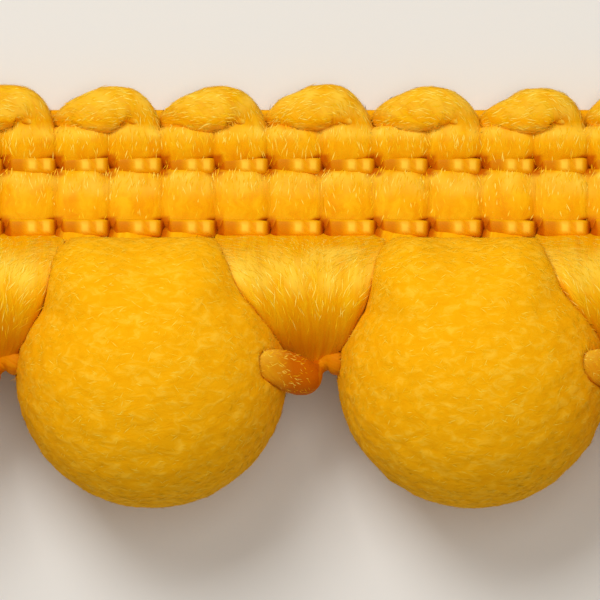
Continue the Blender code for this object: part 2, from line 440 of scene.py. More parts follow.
def tube_round(group, given, stations):
    """A plain tube round the stations, and how far round it each point lies, from 0 to 1."""
    ring = first_output(
        group, "GeometryNodeCurvePrimitiveCircle",
        {"Resolution": given["Sides"], "Radius": 0.5 * MM}, mode="RADIUS",
    )
    around = add_node(group, "GeometryNodeCaptureAttribute", {"Geometry": ring})
    around.capture_items.new("FLOAT", "Around")
    turn = add_node(group, "GeometryNodeSplineParameter").outputs["Factor"]
    group.links.new(turn, around.inputs["Around"])
    inputs = {"Curve": stations, "Profile Curve": around.outputs["Geometry"], "Fill Caps": True}
    return first_output(group, "GeometryNodeCurveToMesh", inputs), around.outputs["Around"]


def yarn_relief(group, given, place):
    """The height of a yarn's ridges and of its soft lumps, by the place in the yarn."""
    made, number = partial(first_output, group), partial(math_socket, group)
    drawn = vector_socket(group, "MULTIPLY", place, (1.0, 1.0, 0.14))
    ridges = made("ShaderNodeTexNoise", {"Vector": drawn, "Scale": 5.0, "Detail": 2.0})
    lumps = made("ShaderNodeTexNoise", {"Vector": place, "Scale": 1.5, "Detail": 1.0})
    heights = [
        number("MULTIPLY", number("SUBTRACT", texture, 0.5), given[size])
        for texture, size in ((ridges, "Ridge height"), (lumps, "Lump height"))
    ]
    return number("MULTIPLY", number("ADD", *heights), 2.0)


def yarn_group():
    """A yarn's body along guide lines, with its half width and half depth at each point.

    The body keeps the yarn's direction, and its place round and along the yarn in millimetres.
    """
    group, entry, leave = new_group(
        "yarn_body", "GeometryNodeTree",
        [
            ("Guides", "geometry"),
            ("Sides", "int", 40),
            ("Spacing", "float", 0.07 * MM),
            ("Boxiness", "float", 2.0),
            ("Uprightness", "float", 1.0),
            ("Ridge height", "float", 0.03 * MM),
            ("Lump height", "float", 0.03 * MM),
            ("Texture radius", "float", 0.6),
            ("Material", "material"),
        ],
        [("Geometry", "geometry")],
    )
    made, given = partial(first_output, group), entry.outputs
    number, vector = partial(math_socket, group), partial(vector_socket, group)

    known = yarn_stations(group, given)
    body, around = tube_round(group, given, known["Geometry"])
    angle = number("MULTIPLY", around, math.tau)
    cosine, sine = number("COSINE", angle), number("SINE", angle)
    power = number("DIVIDE", 2.0, given["Boxiness"])

    def full_cornered(value, size):
        fuller = number("POWER", number("ABSOLUTE", value), power)
        return number("MULTIPLY", number("MULTIPLY", fuller, number("SIGN", value)), size)

    direction = known["Direction"]
    side = vector("NORMALIZE", vector("CROSS_PRODUCT", (0.0, 0.0, 1.0), direction))
    square = vector("NORMALIZE", vector("CROSS_PRODUCT", direction, side))
    raised = made("ShaderNodeCombineXYZ", {2: number("MULTIPLY", given["Uprightness"], 50.0)})
    up = vector("NORMALIZE", vector("ADD", square, raised))
    across = vector("SCALE", side, scale=full_cornered(cosine, known["Half width"]))
    out = vector("SCALE", up, scale=full_cornered(sine, known["Half depth"]))
    spot = vector("ADD", vector("ADD", known["Centre"], across), out)
    shaped = made("GeometryNodeSetPosition", {"Geometry": body, "Position": spot})

    # Each point's place round and along its yarn, and the surface raised by it.
    round_x = number("MULTIPLY", cosine, given["Texture radius"])
    round_y = number("MULTIPLY", sine, given["Texture radius"])
    far = number("DIVIDE", known["Along"], MM)
    yarn_place = made("ShaderNodeCombineXYZ", {0: round_x, 1: round_y, 2: far})
    in_mm = vector("DIVIDE", known["Centre"], (MM, MM, MM))
    shifted = vector("ADD", yarn_place, vector("MULTIPLY", in_mm, (1.0, 0.0, 0.0)))
    height = yarn_relief(group, given, shifted)
    relief = vector("SCALE", made("GeometryNodeInputNormal"), scale=height)
    kept = made("GeometryNodeSetPosition", {"Geometry": shaped, "Offset": relief})
    for name, value in (("yarn_place", shifted), ("flow", direction)):
        kept = with_attribute(group, kept, name, "FLOAT_VECTOR", "POINT", value)
    shaded = made("GeometryNodeSetShadeSmooth", {"Geometry": kept})
    leave_dressed(group, given, leave, shaded)
    return group


def pile_group():
    """Fibres scattered over a surface, lying along its flow, each with its own shade."""
    group, entry, leave = new_group(
        "pile_of_fibres", "GeometryNodeTree",
        [
            ("Surface", "geometry"),
            ("Fibre", "object"),
            ("Fibres per square mm", "float", 60.0),
            ("Length", "float", 0.4 * MM),
            ("Radius", "float", 0.018 * MM),
            ("Lift", "float", 0.15),
            ("Spread", "float", 0.5),
            ("Sink", "float", 0.0015 * MM),
            ("Seed", "int", 1),
            ("Material", "material"),
        ],
        [("Geometry", "geometry")],
    )
    made, given = partial(first_output, group), entry.outputs
    number = partial(math_socket, group)

    def random_number(low, high, offset):
        return random_socket(group, low, high, number("ADD", given["Seed"], float(offset)))

    per_metre = number("MULTIPLY", given["Fibres per square mm"], 1 / MM ** 2)
    density = number("MULTIPLY", per_metre, attribute_socket(group, "fuzz", "FLOAT"))
    points = add_node(
        group, "GeometryNodeDistributePointsOnFaces",
        {"Mesh": given["Surface"], "Density": density, "Seed": given["Seed"]},
    ).outputs
    inward = number("MULTIPLY", given["Sink"], -1.0)
    sunk = vector_socket(group, "SCALE", points["Normal"], scale=inward)
    seated = made("GeometryNodeSetPosition", {"Geometry": points["Points"], "Offset": sunk})
    flow = attribute_socket(group, "flow", "FLOAT_VECTOR")
    base = made(
        "FunctionNodeAxesToRotation", {"Primary Axis": points["Normal"], "Secondary Axis": flow},
        primary_axis="Z", secondary_axis="X",
    )
    # A fibre swings off the flow, and half of them lie the other way round.
    swing = random_number(number("MULTIPLY", given["Spread"], -1.0), given["Spread"], 1)
    back = number("MULTIPLY", number("ROUND", random_number(0.0, 1.0, 2)), math.pi)
    lift = random_number(0.0, number("MULTIPLY", given["Lift"], -1.0), 3)
    angles = made("ShaderNodeCombineXYZ", {1: lift, 2: number("ADD", swing, back)})
    own = made("FunctionNodeEulerToRotation", {0: angles})
    rotation = made(
        "FunctionNodeRotateRotation", {"Rotation": base, "Rotate By": own}, rotation_space="LOCAL"
    )
    length = number("MULTIPLY", given["Length"], random_number(0.55, 1.35, 4))
    width = number("MULTIPLY", given["Radius"], random_number(0.65, 1.5, 5))
    size = made("ShaderNodeCombineXYZ", {0: length, 1: width, 2: width})
    shape = add_node(group, "GeometryNodeObjectInfo", {"Object": given["Fibre"]}).outputs["Geometry"]
    fibres = made(
        "GeometryNodeInstanceOnPoints",
        {"Points": seated, "Instance": shape, "Rotation": rotation, "Scale": size},
    )
    shade = random_number(0.0, 1.0, 6)
    kept = with_attribute(group, fibres, "shade", "FLOAT", "INSTANCE", shade)
    kept = with_attribute(group, kept, "lean", "FLOAT_VECTOR", "INSTANCE", points["Normal"])
    leave_dressed(group, given, leave, kept)
    return group


def row_group():
    """Copies of one piece in a row, each turned and scaled a little differently."""
    group, entry, leave = new_group(
        "row_of_stitches", "GeometryNodeTree",
        [
            ("Piece", "geometry"),
            ("Count", "int", 26),
            ("Start", "vector"),
            ("Step", "vector"),
            ("Unevenness", "float", 0.05),
            ("Seed", "int", 1),
            ("Material", "material"),
        ],
        [("Geometry", "geometry")],
    )
    made, given = partial(first_output, group), entry.outputs
    number = partial(math_socket, group)
    line = made(
        "GeometryNodeMeshLine",
        {"Count": given["Count"], "Start Location": given["Start"], "Offset": given["Step"]},
        mode="OFFSET",
    )
    uneven = given["Unevenness"]
    less = number("MULTIPLY", uneven, -1.0)
    turn = random_socket(group, less, uneven, given["Seed"])
    growth = random_socket(
        group, number("ADD", less, 1.0), number("ADD", uneven, 1.0), given["Seed"]
    )
    rotation = made("FunctionNodeEulerToRotation", {0: made("ShaderNodeCombineXYZ", {2: turn})})
    size = made("ShaderNodeCombineXYZ", {0: 1.0, 1: growth, 2: 1.0})
    copies = made(
        "GeometryNodeInstanceOnPoints",
        {"Points": line, "Instance": given["Piece"], "Rotation": rotation, "Scale": size},
    )
    leave_dressed(group, given, leave, copies)
    return group


# Guides and shapes

def guide_object(name, lines):
    """Guide lines of (x, y, z, half width, half depth), in millimetres, as a mesh of edges."""
    vertices, edges, widths, depths = [], [], [], []
    for line in lines:
        first = len(vertices)
        for x, y, z, half_width, half_depth in line:
            vertices.append(placed(x, y, z))
            widths.append(half_width * MM)
            depths.append(half_depth * MM)
        edges += [(first + i, first + i + 1) for i in range(len(line) - 1)]
    guides = new_mesh_object(name, vertices, edges, [])
    store(guides, "half_width", "FLOAT", widths)
    store(guides, "half_depth", "FLOAT", depths)
    return guides


def fibre_shape(name):
    """A closed fibre along X, one unit long, low and wide, with pointed ends."""
    points = [
        (0.0, 0.0, 0.0), (0.5, 1.0, 0.20), (0.5, 0.0, 0.36), (0.5, -1.0, 0.20), (1.0, 0.0, 0.0),
    ]
    faces = []
    for corner in range(3):
        following = (corner + 1) % 3
        faces.append((0, 1 + following, 1 + corner))
        faces.append((4, 1 + corner, 1 + following))
    return new_mesh_object(name, points, [], faces)


def yarn_along(name, lines, yarn, values, material):
    """A yarn's body along guide lines, as a plain mesh."""
    guides = guide_object("guides", lines)
    body = grown(guides, yarn, {**values, "Material": material}, name)
    bpy.data.objects.remove(guides)
    return body


def loose_fibres(name, body, pile, fibre, values, seed, material):
    """The fibres that stand out of a body, as a plain mesh."""
    values = {"Fibre": fibre, **values, "Seed": seed, "Material": material}
    return grown(body, pile, values, name)


def spots_on(body):
    """The places of a mesh's points, in millimetres from the line of the ties."""
    points = [vertex.co for vertex in body.data.vertices]
    return [(point.x / MM, point.y / MM + ORIGIN_Y, point.z / MM) for point in points]


# The heading

# A column from its lower thread up, seen from the front:
# height, shift to the right, half width, half depth.
COLUMN_LINE = (
    (3.33, 0.03, 0.60, 0.40),
    (3.43, 0.03, 0.58, 0.41),
    (3.54, 0.01, 0.67, 0.48),
    (3.64, 0.00, 0.80, 0.55),
    (4.02, 0.00, 0.87, 0.605),
    (4.34, 0.00, 0.88, 0.63),
    (4.56, 0.01, 0.86, 0.625),
    (4.71, 0.03, 0.78, 0.59),
    (4.80, 0.05, 0.65, 0.52),
    (4.93, 0.04, 0.58, 0.43),
    (5.03, 0.00, 0.66, 0.49),
    (5.12, 0.00, 0.80, 0.56),
    (5.42, 0.00, 0.86, 0.60),
)
# How a column ends above a pompom, from its tip up: height, depth, half width, half depth.
END_AT_POMPOM = (
    (2.72, 1.62, 0.10, 0.10),
    (2.76, 1.58, 0.42, 0.26),
    (2.90, 1.48, 0.60, 0.38),
    (3.08, 1.36, 0.66, 0.43),
    (3.22, 1.26, 0.64, 0.40),
)
# The top of a turn's left column: height, shift to the right, half width, half depth.
LEFT_TOP_LINE = (
    (5.64, 0.00, 0.84, 0.60),
    (5.79, 0.00, 0.76, 0.52),
    (5.88, 0.00, 0.56, 0.38),
    (5.93, 0.00, 0.20, 0.14),
)
# The loop over a turn, from its thin left end to the right column:
# place from the left column, height, depth, half width and half depth.
LOOP_LINE = (
    (-0.66, 5.98, 0.50, 0.06, 0.06),
    (-0.58, 6.00, 0.54, 0.17, 0.15),
    (-0.38, 6.10, 0.66, 0.27, 0.27),
    (-0.12, 6.19, 0.78, 0.38, 0.38),
    (0.18, 6.23, 0.86, 0.48, 0.44),
    (0.50, 6.29, 0.90, 0.54, 0.48),
    (0.82, 6.34, 0.90, 0.52, 0.48),
    (1.08, 6.30, 0.86, 0.50, 0.48),
    (1.24, 6.16, 0.78, 0.50, 0.48),
    (1.30, 6.00, 0.70, 0.54, 0.46),
    (1.29, 5.88, 0.62, 0.64, 0.50),
    (1.27, 5.74, 0.58, 0.78, 0.57),
    (1.27, 5.60, 0.57, 0.85, 0.60),
)
END_COLUMN_SHIFT = 0.10
# The least and most by which columns and loops differ, at random.
COLUMN_SWAY = (-0.015, 0.015)
COLUMN_PLUMPNESS = (0.97, 1.03)
LOOP_LIFT = (-0.09, 0.05)
LOOP_LEAN = (-0.05, 0.05)
LOOP_PLUMPNESS = (0.98, 1.03)
TURN_SEED = 7
COLUMN_FILAMENT_SEED = 11
# The yarn that fills the crease between two columns: height, and depth over the yarn's middle.
CREASE_LINES = (
    ((3.60, 0.36), (3.69, 0.45), (4.02, 0.53), (4.34, 0.56), (4.56, 0.545), (4.69, 0.475), (4.76, 0.38)),
    ((5.07, 0.34), (5.15, 0.45), (5.42, 0.52), (5.62, 0.50), (5.72, 0.44)),
)
CREASE_HALF_WIDTH = 0.11
CREASE_HALF_DEPTH = 0.06
COLUMN_YARN = {
    "Sides": 36, "Spacing": 0.08 * MM, "Boxiness": 3.0, "Ridge height": 0.022 * MM,
    "Lump height": 0.05 * MM, "Texture radius": 0.6,
}
COLUMN_FILAMENTS = {
    "Fibres per square mm": 130.0, "Length": 0.22 * MM, "Radius": 0.010 * MM, "Lift": 0.10,
    "Spread": 0.45,
}


def above_pompom(index):
    """Whether a column, counted from the left, ends above a pompom and not in a fan."""
    x = column_x(index)
    gap = min(abs(x - tie_x(tie) - FAN_MIDDLE) for tie in range(POMPOM_COUNT + 1))
    return gap > 1.5 * COLUMN_PITCH


def crease_lines():
    """Guide lines of the yarn that lies in the creases between the columns."""
    lines = []
    for boundary in range(1, 2 * TURN_COUNT):
        x = column_x(boundary) - COLUMN_PITCH / 2
        for rows in CREASE_LINES:
            lines.append([
                (x, y, drape_z(y) + top - CREASE_HALF_DEPTH, CREASE_HALF_WIDTH, CREASE_HALF_DEPTH)
                for y, top in rows
            ])
    return lines


def turn_lines(index, rng):
    """Guide lines of one turn: its left column, and the loop that runs down the right one."""
    left = column_x(2 * index)
    right = left + COLUMN_PITCH

    def column(number, rows):
        sway = rng.uniform(*COLUMN_SWAY)
        plump = rng.uniform(*COLUMN_PLUMPNESS)
        # The trim's end columns have no neighbour to lean on, and are drawn in there.
        inward = {0: END_COLUMN_SHIFT, 2 * TURN_COUNT - 1: -END_COLUMN_SHIFT}.get(number, 0.0)
        x = column_x(number) + sway + inward
        line = [
            (x + shift, y, drape_z(y), width - abs(inward), depth * plump)
            for y, shift, width, depth in rows
        ]
        if above_pompom(number):
            line = [(x, y, z, width, depth) for y, z, width, depth in END_AT_POMPOM] + line
        return line

    lift = rng.uniform(*LOOP_LIFT)
    lean = rng.uniform(*LOOP_LEAN)
    loop = []
    for x, y, z, half_width, half_depth in LOOP_LINE:
        arch = rise(y, 5.9, 0.4)
        size = rng.uniform(*LOOP_PLUMPNESS)
        loop.append(
            (left + x + lean * arch, y + lift * arch, z, half_width * size, half_depth * size)
        )
    return [
        column(2 * index, COLUMN_LINE + LEFT_TOP_LINE),
        loop + column(2 * index + 1, COLUMN_LINE)[::-1],
    ]


def beside_column(x):
    """How far a place lies from the middle of its column (0) towards the next one (1)."""
    return 2 * abs((x / COLUMN_PITCH) % 1 - 0.5)


def puff_fuzz(x, y, z):
    """How many loose filaments stand out at a place: most at the top of each puff."""
    lower = rise(y, 3.62, 0.2) * fall(y, 4.84, 0.06)
    upper = rise(y, 5.06, 0.2) * (0.35 + 0.65 * rise(y, 5.3, 0.3))
    loops = rise(y, 5.9, 0.15)
    side = fall(beside_column(x), 1.05, 0.22)
    fuzz = lower * (0.15 + 0.85 * rise(y, 4.0, 0.6)) + upper
    # No filaments stand out of the flat back.
    return fuzz * max(side, loops) * smooth_step(4 * z - 1.4)


def column_packed(x, y):
    """How much painted shade a place on the heading gets, from 0 to 1: in the creases between columns,
    in the notches at the threads and on the lower part of each puff.
    """
    beside = beside_column(x)
    # Painted shade in the creases between columns and in the notches where the threads cross them.
    crease = 0.22 * rise(beside, 0.80, 0.20) * fall(y, 6.0, 0.3)
    band = min(abs(y - LOWER_CHAIN_Y), abs(y - MIDDLE_CHAIN_Y))
    notch = fall(band, 0.31, 0.12) * rise(beside, 0.60, 0.2)
    # Painted shade on the lower part of each puff, away from the light from above.
    under = 0.22 * fall(y, 4.25, 0.6) * rise(y, 3.5, 0.1)
    under += 0.22 * fall(y, 5.5, 0.35) * rise(y, 5.0, 0.1)
    return min(crease + notch + under, 1.0)


def column_loose(x, y):
    """How pale a place on the heading is painted: the tops of its puffs and loops, with their paler fuzz
    and painted highlight where the light from above falls, in soft patches.
    """
    lower = rise(y, 4.05, 0.5) * fall(y, 4.80, 0.08)
    upper = rise(y, 5.45, 0.3) * fall(y, 5.95, 0.15)
    loop = rise(y, 6.00, 0.2) * fall(y, 6.85, 0.2)
    return clamped(lower + upper + 0.8 * loop) * patchy(3.0 * x, 2.2 * y, 4.0)


def lay_flat(body):
    """Presses a body's back flat on the surface that it lies on, with a soft edge."""
    soft = 0.10 * MM
    for vertex in body.data.vertices:
        z = vertex.co.z
        vertex.co.z = (z + math.hypot(z, soft)) / 2


def heading_pieces(yarn, pile, fibre, body_material, filament_material):
    """The heading's yarn and the loose filaments on it."""
    rng = random.Random(TURN_SEED)
    lines = []
    for index in range(TURN_COUNT):
        lines += turn_lines(index, rng)
    body = yarn_along("heading_columns", lines + crease_lines(), yarn, COLUMN_YARN, body_material)
    lay_flat(body)
    spots = spots_on(body)
    store_shares(
        body,
        fuzz=[puff_fuzz(*spot) for spot in spots],
        packed=[column_packed(x, y) for x, y, _ in spots],
        loose=[column_loose(x, y) for x, y, _ in spots],
    )
    filaments = loose_fibres(
        "heading_filaments", body, pile, fibre, COLUMN_FILAMENTS, COLUMN_FILAMENT_SEED,
        filament_material,
    )
    finished(body, "heading")
    finished(filaments)
    return body


# One stitch of a binding thread over a column, from left to right:
# place across the column, rise, depth over the column's middle, half height, half thickness.
STITCH_LINE = (
    (-0.60, 0.05, -0.08, 0.17, 0.06),
    (-0.54, 0.05, 0.10, 0.18, 0.06),
    (-0.48, 0.03, 0.32, 0.20, 0.07),
    (-0.42, 0.02, 0.43, 0.205, 0.08),
    (-0.28, 0.01, 0.46, 0.205, 0.08),
    (-0.12, 0.01, 0.47, 0.20, 0.08),
    (0.00, 0.01, 0.475, 0.20, 0.08),
    (0.10, 0.01, 0.49, 0.20, 0.08),
    (0.20, 0.00, 0.47, 0.20, 0.08),
    (0.30, 0.00, 0.46, 0.20, 0.08),
    (0.43, 0.00, 0.47, 0.20, 0.08),
    (0.55, -0.01, 0.44, 0.20, 0.08),
    (0.63, -0.02, 0.36, 0.20, 0.08),
    (0.69, -0.03, 0.20, 0.19, 0.07),
    (0.74, -0.03, 0.00, 0.18, 0.06),
    (0.78, -0.03, -0.16, 0.17, 0.06),
)
# The upper thread shows only as a short bright stitch under the loops, on the same terms.
SHORT_STITCH_LINE = (
    (-0.36, 0.03, 0.16, 0.05, 0.04),
    (-0.20, 0.02, 0.34, 0.09, 0.07),
    (-0.04, 0.00, 0.42, 0.10, 0.09),
    (0.12, -0.02, 0.36, 0.09, 0.07),
    (0.30, -0.04, 0.16, 0.05, 0.04),
)
# The highlights along a stitch: place across the column, reach and strength.
HIGHLIGHTS = ((0.10, 0.09, 1.0), (0.45, 0.08, 0.9))
THREAD_YARN = {
    "Sides": 14, "Spacing": 0.05 * MM, "Boxiness": 2.3, "Ridge height": 0.007 * MM,
    "Lump height": 0.0, "Texture radius": 0.2,
}
BACK_THREAD_YARN = {
    "Sides": 10, "Spacing": 0.30 * MM, "Boxiness": 2.0, "Ridge height": 0.01 * MM,
    "Lump height": 0.0, "Texture radius": 0.15,
}
UPPER_THREAD_Z = 0.70
STITCH_UNEVENNESS = 0.03
THREAD_SEED = 3
# A thread's straight run behind: how far it lies behind the yarn's middle, its least height, its
# half height and half depth, and its stations.
BACK_THREAD_BEHIND = 0.47
BACK_THREAD_LEAST_Z = 0.13
BACK_THREAD_HALVES = (0.26, 0.10)
BACK_THREAD_STEPS = 52


def one_stitch(yarn, rows, material):
    """One stitch about the frame's origin: painted shade at its ends and over its plain part, with
    painted highlights between.
    """
    line = [(x, ORIGIN_Y + lift, z, height, depth) for x, lift, z, height, depth in rows]
    stitch = yarn_along("one_stitch", [line], yarn, THREAD_YARN, material)
    packed, loose = [], []
    for vertex in stitch.data.vertices:
        x, y = vertex.co.x / MM, vertex.co.y / MM
        slant = x + 0.15 * y
        # Painted shade where the stitch dives into the notches at its ends and over its plain left part;
        # painted highlights on its two bumps.
        end = rise(slant, 0.61, 0.08) + fall(slant, -0.38, 0.08)
        lit = sum(most * smooth_step(1.5 - abs(x - place) / reach) for place, reach, most in HIGHLIGHTS)
        lit = min(lit, 1.0) * fall(abs(y - 0.02), 0.16, 0.08)
        plain = (0.25 + 0.45 * fall(x, 0.0, 0.2)) * fall(abs(y), 0.23, 0.10)
        packed.append(min(plain * (1.0 - lit) + 0.95 * end, 1.0))
        loose.append(0.9 * lit)
    store_shares(stitch, packed=packed, loose=loose)
    return stitch


def binding_pieces(yarn, row, material):
    """The three binding threads: a stitch over each column, and a straight run behind."""
    # Each thread: name, its stitch, height, depth, first column, columns from one stitch to the
    # next, and count.
    threads = (
        ("lower", STITCH_LINE, LOWER_CHAIN_Y, drape_z(LOWER_CHAIN_Y), 0, 1, 2 * TURN_COUNT),
        ("middle", STITCH_LINE, MIDDLE_CHAIN_Y, drape_z(MIDDLE_CHAIN_Y), 0, 1, 2 * TURN_COUNT),
        ("upper", SHORT_STITCH_LINE, UPPER_CHAIN_Y, UPPER_THREAD_Z, 1, 2, TURN_COUNT),
    )
    half = (TURN_COUNT - 0.1) * COLUMN_PITCH
    back_lines = []
    for number, (label, rows, y, z, first, step, count) in enumerate(threads):
        one = one_stitch(yarn, rows, material)
        made = grown(
            one, row,
            {
                "Count": count,
                "Start": placed(column_x(first), y, z),
                "Step": (step * COLUMN_PITCH * MM, 0.0, 0.0),
                "Unevenness": STITCH_UNEVENNESS,
                "Seed": THREAD_SEED + number,
                "Material": material,
            },
            f"{label}_thread",
        )
        bpy.data.objects.remove(one)
        finished(made)
        behind = max(drape_z(y) - BACK_THREAD_BEHIND, BACK_THREAD_LEAST_Z)
        back_lines.append([
            (-half + 2 * half * i / BACK_THREAD_STEPS, y, behind, *BACK_THREAD_HALVES)
            for i in range(BACK_THREAD_STEPS + 1)
        ])
    finished(yarn_along("back_threads", back_lines, yarn, BACK_THREAD_YARN, material))


# The fans

# A fan's sections, from under the lower thread down into the tie:
# height, left and right edges from the tie, height of its back and of its front.
FAN_LINE = (
    (3.31, -2.28, 1.50, 0.86, 1.42),
    (3.24, -2.32, 1.62, 0.84, 1.66),
    (3.14, -2.34, 1.72, 0.88, 2.00),
    (3.00, -2.33, 1.74, 0.95, 2.55),
    (2.82, -2.29, 1.70, 1.02, 3.15),
    (2.58, -2.21, 1.62, 1.12, 3.68),
    (2.25, -2.03, 1.52, 1.30, 4.00),
    (1.85, -1.75, 1.38, 1.55, 4.08),
    (1.45, -1.45, 1.23, 1.85, 3.98),
    (1.05, -1.20, 1.06, 2.10, 3.76),
    (0.72, -1.00, 0.90, 2.25, 3.50),
    (0.44, -0.78, 0.70, 2.40, 3.24),
    (0.24, -0.55, 0.46, 2.52, 3.08),
    (0.14, -0.26, 0.22, 2.65, 2.98),
)
FAN_SIDES = 112
FAN_STEPS = 48
FAN_BOXINESS = 6.5
FAN_TOP_BOXINESS = 14.0
FAN_RIB_DEPTH = 0.10
FAN_BUNDLE_HEIGHT = 0.06
FAN_SEED = 21
# How much the fan's two edges ride up on the pompoms beside it, by height.
FAN_SADDLE = ((0.3, 0.0), (0.9, 0.27), (1.6, 0.47), (2.3, 0.40), (2.9, 0.10), (3.3, 0.0))
FAN_FILAMENTS = {
    "Fibres per square mm": 100.0, "Length": 0.30 * MM, "Radius": 0.009 * MM, "Lift": 0.03,
    "Spread": 0.40,
}


def along_table(rows, share):
    """A row between the rows of a table, by a soft curve through them."""
    place = share * (len(rows) - 1)
    low = min(int(place), len(rows) - 2)
    t = place - low
    picked = [rows[min(max(low + k, 0), len(rows) - 1)] for k in (-1, 0, 1, 2)]
    made = []
    for a, b, c, d in zip(*picked):
        made.append(b + 0.5 * t * (c - a + t * (2 * a - 5 * b + 4 * c - d + t * (3 * (b - c) + d - a))))
    return made


def boxed(angle, boxiness):
    """The point of a round with full corners, in a direction, as (across, out)."""
    across, out = math.cos(angle), math.sin(angle)
    reach = (abs(across) ** boxiness + abs(out) ** boxiness) ** (-1 / boxiness)
    return reach * across, reach * out


def fan_faces():
    """The faces between a fan's sections, and those that close its two ends."""
    faces = []
    for step in range(FAN_STEPS):
        for side in range(FAN_SIDES):
            a = step * FAN_SIDES + side
            b = step * FAN_SIDES + (side + 1) % FAN_SIDES
            faces.append((a, b, b + FAN_SIDES, a + FAN_SIDES))
    last = FAN_STEPS * FAN_SIDES
    faces.append(tuple(reversed(range(FAN_SIDES))))
    faces.append(tuple(last + side for side in range(FAN_SIDES)))
    return faces


def fan_object(index, material):
    """One fan of yarn from three columns, drawn in to its tie, with its filaments' directions."""
    centre = tie_x(index)
    half_length = TURN_COUNT * COLUMN_PITCH
    vertices, flow, place, fuzz, packed, loose = [], [], [], [], [], []
    for step in range(FAN_STEPS + 1):
        y, left, right, back, front = along_table(FAN_LINE, step / FAN_STEPS)
        middle_z = (back + front) / 2
        ribs = FAN_RIB_DEPTH * rise(y, 1.0, 1.6)
        saddle = float(np.interp(y, *zip(*FAN_SADDLE)))
        boxiness = FAN_BOXINESS + (FAN_TOP_BOXINESS - FAN_BOXINESS) * rise(y, 2.7, 0.4)
        for side in range(FAN_SIDES):
            across, out = boxed(math.tau * side / FAN_SIDES, boxiness)
            x = centre + (left + right) / 2 + (right - left) / 2 * across
            rib = ribs * (math.cos(math.tau * (x - centre - FAN_MIDDLE) / COLUMN_PITCH) - 1) / 2
            spread = across * (1.0 + 0.2 * y)
            bundle = noise.noise(Vector((5.0 * spread, 5.0 * out + 20.0 * index, 0.5 * y)))
            bundle += 0.5 * noise.noise(Vector((13.0 * spread, 9.0 * out + 20.0 * index, 0.9 * y)))
            z = middle_z + (front - back) / 2 * out + (rib + FAN_BUNDLE_HEIGHT * bundle) * out
            z += saddle * across * across * max(out, 0.0)
            x = min(max(x, -half_length), half_length)
            vertices.append(placed(x, y, z))
            flow.append((-(x - centre) * 0.5, -1.0, 0.2))
            place.append((1.6 * spread, 0.8 * out, y + 10.0 * index))
            fuzz.append(rise(y, 0.8, 1.4) * fall(y, 3.30, 0.15))
            # Painted shade deepens towards the tie and in the creases along the fan's edges where it
            # meets the pompoms.
            edge = 0.20 * rise(abs(across), 0.78, 0.2) * fall(y, 1.7, 0.6)
            packed.append(min(0.60 * fall(y, 2.1, 1.9) + edge, 1.0))
            # Paler in soft patches over the fan's upper part.
            tuft = rise(y, 1.7, 0.6) * fall(y, 3.05, 0.2)
            loose.append(tuft * patchy(2.5 * x, 1.5 * y, 9.0))
    fan = new_mesh_object(f"fan_yarn_{index + 1}", vertices, [], fan_faces())
    for polygon in fan.data.polygons:
        polygon.use_smooth = len(polygon.vertices) == 4
    fan.data.materials.append(material)
    store(fan, "flow", "FLOAT_VECTOR", flow)
    store(fan, "yarn_place", "FLOAT_VECTOR", place)
    store_shares(fan, fuzz=fuzz, packed=packed, loose=loose)
    return fan


def fan_pieces(pile, fibre, body_material, filament_material):
    """The fans and the loose filaments on them."""
    fans = []
    for index in range(POMPOM_COUNT + 1):
        fan = fan_object(index, body_material)
        filaments = loose_fibres(
            f"fan_filaments_{index + 1}", fan, pile, fibre, FAN_FILAMENTS, FAN_SEED + index,
            filament_material,
        )
        finished(fan, f"fan_{index + 1}")
        finished(filaments)
        fans.append(fan)
    return fans


# The ties

# A tie's yarn: the loop that lies on the left pompom's shoulder, and the neck of the right one.
# Place, height, depth from the pompoms' middle, half width, half depth.
TIE_LINE = (
    (-1.28, 0.28, 1.58, 0.07, 0.04),
    (-1.20, 0.27, 1.53, 0.24, 0.08),
    (-1.02, 0.21, 1.36, 0.37, 0.17),
    (-0.74, 0.10, 1.12, 0.44, 0.30),
    (-0.42, -0.04, 0.88, 0.47, 0.40),
    (-0.18, -0.12, 0.68, 0.42, 0.40),
    (-0.04, -0.08, 0.46, 0.30, 0.30),
    (0.06, 0.04, 0.22, 0.20, 0.22),
    (0.18, 0.18, 0.08, 0.20, 0.20),
    (0.34, 0.27, 0.06, 0.26, 0.26),
    (0.56, 0.27, 0.08, 0.34, 0.34),
    (0.82, 0.25, 0.04, 0.30, 0.30),
    (0.95, 0.22, 0.02, 0.08, 0.08),
)
TIE_YARN = {
    "Sides": 36, "Spacing": 0.04 * MM, "Boxiness": 2.0, "Uprightness": 0.0,
    "Ridge height": 0.02 * MM, "Lump height": 0.03 * MM, "Texture radius": 0.45,
}
TIE_FILAMENTS = {
    "Fibres per square mm": 220.0, "Length": 0.15 * MM, "Radius": 0.006 * MM, "Lift": 0.10,
    "Spread": 0.8,
}
TIE_SEED = 61


